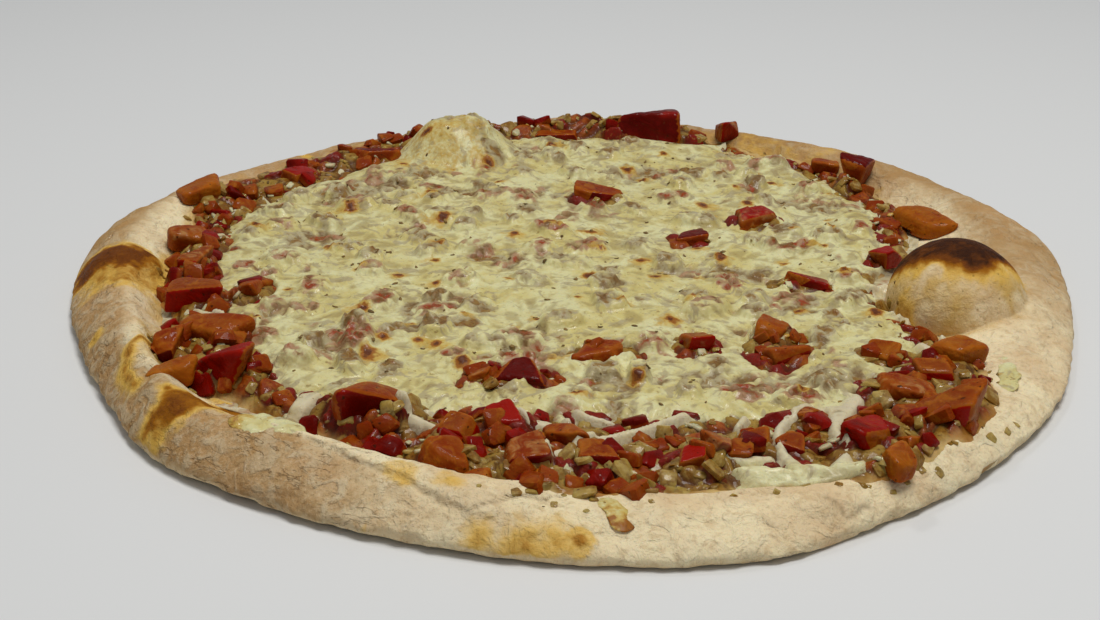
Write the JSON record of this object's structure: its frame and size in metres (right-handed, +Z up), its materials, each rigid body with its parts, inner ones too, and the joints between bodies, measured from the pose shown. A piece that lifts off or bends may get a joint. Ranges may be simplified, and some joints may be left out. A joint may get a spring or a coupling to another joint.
{
  "type": "cheese pizza",
  "caption": "Round thin stone-baked cheese pizza with a low uneven crust rim, charred dough bubble, chunky tomato and onion sauce, melted mozzarella and diced tomato.",
  "frame": {"origin": "middle of the flat underside, on the surface that the pizza lies on", "axes": "+Z up; -Y towards the front of the picture; +X to its right, where the large charred bubble is"},
  "size_m": [0.3063, 0.3139, 0.0261],
  "materials": {
    "crust": "dry floury baked dough, pale cream to tan with scorched spots",
    "sauce": "wet chunky tomato and onion sauce",
    "cheese": "melted mozzarella with a soft oily sheen and browned blisters",
    "tomato_skin": "wet cooked tomato, skin side",
    "tomato_flesh": "wet cooked tomato, flesh side"
  },
  "bodies": {
    "root": {"crust": "crust", "sauce": "sauce", "cheese": "cheese", "tomato_01": "tomato_skin", "tomato_02": "tomato_flesh", "tomato_03": "tomato_skin", "tomato_04": "tomato_skin", "tomato_05": "tomato_skin", "tomato_06": "tomato_flesh", "tomato_07": "tomato_flesh", "tomato_08": "tomato_skin", "tomato_09": "tomato_flesh", "tomato_10": "tomato_skin", "tomato_11": "tomato_skin", "tomato_12": "tomato_flesh", "tomato_13": "tomato_skin", "tomato_14": "tomato_skin", "tomato_15": "tomato_flesh", "tomato_16": "tomato_flesh", "tomato_17": "tomato_skin", "tomato_18": "tomato_flesh", "tomato_19": "tomato_skin", "tomato_20": "tomato_flesh", "tomato_21": "tomato_skin", "tomato_22": "tomato_flesh", "tomato_23": "tomato_flesh", "tomato_24": "tomato_skin", "tomato_25": "tomato_flesh", "tomato_26": "tomato_skin", "tomato_27": "tomato_flesh", "tomato_28": "tomato_skin", "tomato_29": "tomato_skin", "tomato_30": "tomato_skin", "tomato_31": "tomato_skin", "tomato_32": "tomato_skin", "tomato_33": "tomato_skin", "tomato_34": "tomato_skin", "tomato_35": "tomato_skin", "tomato_36": "tomato_flesh", "tomato_37": "tomato_flesh", "tomato_38": "tomato_flesh", "tomato_39": "tomato_flesh", "tomato_40": "tomato_skin", "tomato_41": "tomato_skin", "tomato_42": "tomato_flesh", "tomato_43": "tomato_flesh", "tomato_44": "tomato_skin", "tomato_45": "tomato_flesh", "tomato_46": "tomato_skin", "tomato_47": "tomato_skin", "tomato_48": "tomato_skin", "tomato_49": "tomato_skin", "cheese_scrap_front_left": "cheese", "cheese_strip_front": "cheese", "cheese_strip_right": "cheese"}
  },
  "joints": []
}
